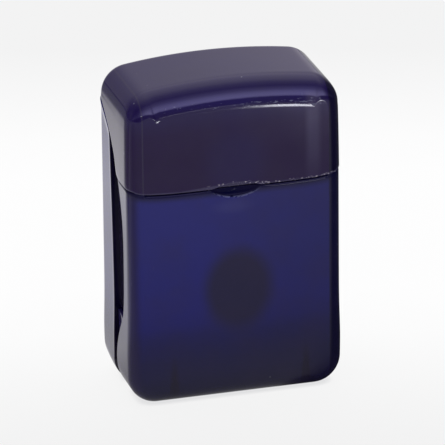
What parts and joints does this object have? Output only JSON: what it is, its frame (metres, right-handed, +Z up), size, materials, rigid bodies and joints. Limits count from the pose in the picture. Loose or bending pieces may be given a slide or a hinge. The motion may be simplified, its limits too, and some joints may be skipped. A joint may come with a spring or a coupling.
{
  "type": "dental floss dispenser",
  "caption": "Slim upright flip-top dental floss dispenser with rounded corners, bowed side seams, living hinges, a floss bobbin inside and a steel cutter under the lid.",
  "frame": {"origin": "centre of the base, on the plane that the dispenser stands on", "axes": "+X right, +Y to the back, +Z up; the front face with the thumbnail scoop faces -Y"},
  "size_m": [0.0322, 0.0168, 0.0485],
  "materials": {
    "navy_plastic": "glossy, slightly translucent",
    "lid_plastic": "glossy, slightly translucent",
    "bobbin_plastic": "satin",
    "floss": "waxed",
    "cutter_steel": "brushed"
  },
  "bodies": {
    "front_body": {"front_body": "navy_plastic", "lid_hinge": "lid_plastic", "base_hinge": "navy_plastic", "cutter_clip": "cutter_steel", "floss_lead": "floss"},
    "flip_lid": {"flip_lid": "lid_plastic"},
    "back_cover": {"back_cover": "navy_plastic"},
    "bobbin": {"bobbin": "bobbin_plastic", "floss_winding": "floss", "floss_outer_turns": "floss"}
  },
  "joints": [
    {"name": "lid_flip", "type": "hinge", "parent": "front_body", "child": "flip_lid", "pos_m": [0, 0.0082, 0.044], "axis": [-1, 0, 0], "range_deg": [0, 150]},
    {"name": "cover_open", "type": "hinge", "parent": "front_body", "child": "back_cover", "pos_m": [0, 0.00155, 0.0006], "axis": [-1, 0, 0], "range_deg": [0, 150]},
    {"name": "bobbin_turn", "type": "hinge", "parent": "front_body", "child": "bobbin", "pos_m": [0, 0, 0.0155], "axis": [0, 1, 0], "continuous": true}
  ]
}
